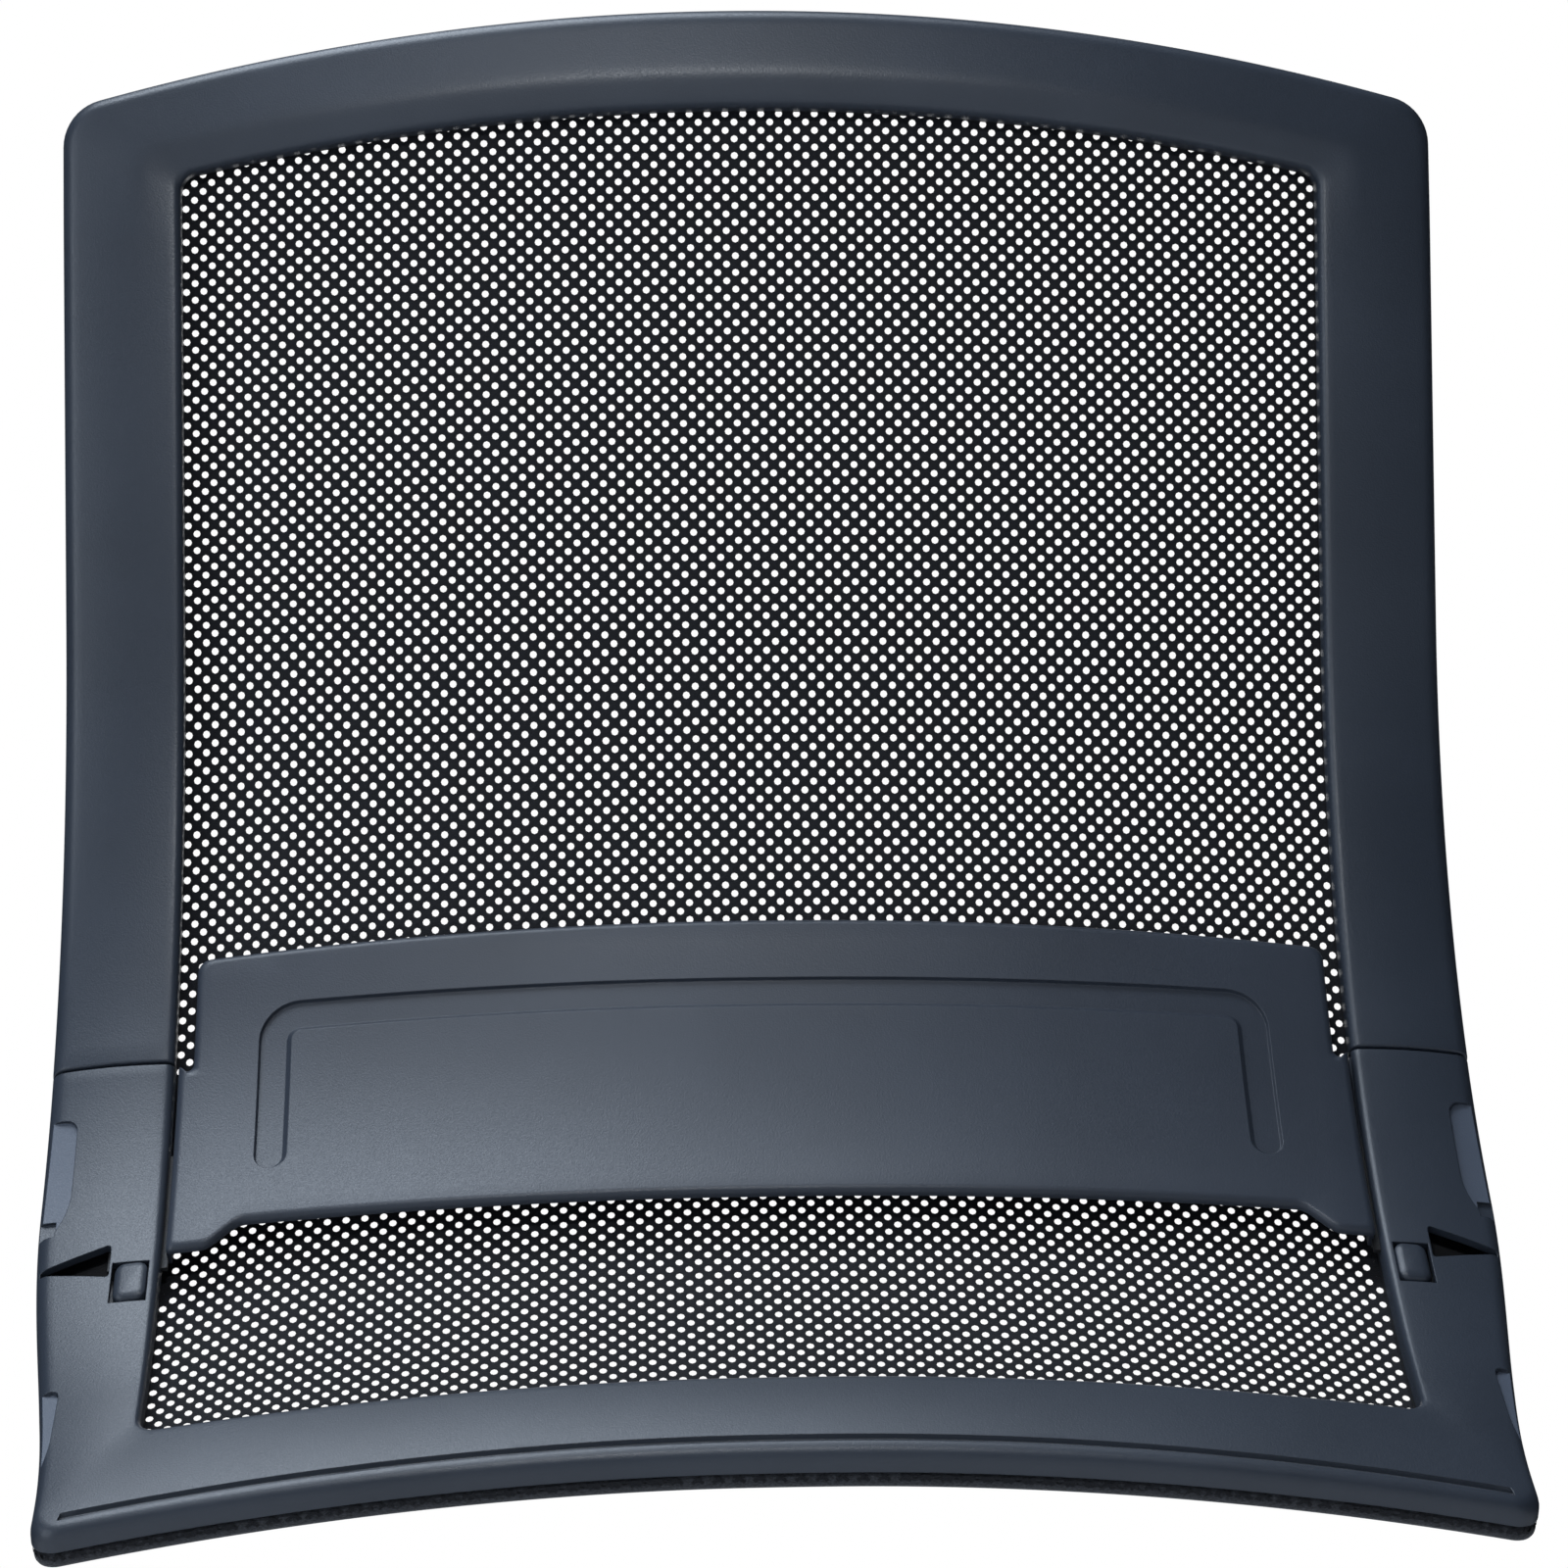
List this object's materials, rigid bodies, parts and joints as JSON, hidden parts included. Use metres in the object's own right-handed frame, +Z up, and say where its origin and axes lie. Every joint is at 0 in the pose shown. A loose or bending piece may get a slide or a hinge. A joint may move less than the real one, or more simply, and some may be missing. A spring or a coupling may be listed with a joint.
{
  "type": "office chair backrest",
  "caption": "Curved chair backrest: a rigid frame with open mesh stretched over its front and a lumbar support panel that slides up and down behind the mesh",
  "frame": {"origin": "the middle of the flat bracket seat on the rear face of the bottom rail", "axes": "+X right as seen from behind, +Y forward towards the sitter, +Z up"},
  "size_m": [0.462, 0.1233, 0.5166],
  "materials": {
    "frame_plastic": "fine-grained satin",
    "panel_plastic": "fine-grained satin",
    "core_plastic": "plain moulded",
    "slide_plastic": "smooth",
    "mesh_fabric": "knitted mesh with staggered round holes",
    "screw_steel": "zinc plated"
  },
  "bodies": {
    "frame": {"rear_upper_shell": "frame_plastic", "rear_lower_shell": "frame_plastic", "front_carrier": "core_plastic", "mesh_panel": "mesh_fabric", "mesh_strip_top": "core_plastic", "mesh_strip_bottom": "core_plastic", "mesh_strip_left": "core_plastic", "mesh_strip_right": "core_plastic", "upper_shell_screw_1_left": "screw_steel", "upper_shell_screw_1_right": "screw_steel", "upper_shell_screw_2_left": "screw_steel", "upper_shell_screw_2_right": "screw_steel", "upper_shell_screw_3_left": "screw_steel", "upper_shell_screw_3_right": "screw_steel", "upper_shell_screw_4_left": "screw_steel", "upper_shell_screw_4_right": "screw_steel", "lower_shell_screw_1_left": "screw_steel", "lower_shell_screw_1_right": "screw_steel", "lower_shell_screw_2_left": "screw_steel", "lower_shell_screw_2_right": "screw_steel", "lower_shell_screw_3_left": "screw_steel", "lower_shell_screw_3_right": "screw_steel", "guide_screw_1_left": "screw_steel", "guide_screw_1_right": "screw_steel", "guide_screw_2_left": "screw_steel", "guide_screw_2_right": "screw_steel", "lumbar_rail_left": "slide_plastic", "lumbar_rail_right": "slide_plastic", "slide_end_stop_left": "frame_plastic", "slide_end_stop_right": "frame_plastic"},
    "lumbar": {"lumbar_panel": "panel_plastic", "lumbar_slider_left": "slide_plastic", "lumbar_slider_right": "slide_plastic", "slider_screw_1_left": "screw_steel", "slider_screw_1_right": "screw_steel", "slider_screw_2_left": "screw_steel", "slider_screw_2_right": "screw_steel", "detent_spring_left": "screw_steel", "detent_spring_right": "screw_steel"}
  },
  "joints": [
    {"name": "lumbar_height", "type": "hinge", "parent": "frame", "child": "lumbar", "pos_m": [0, -0.1778, 0.19073], "axis": [1, 0, 0], "range_deg": [0, 6.66]}
  ]
}
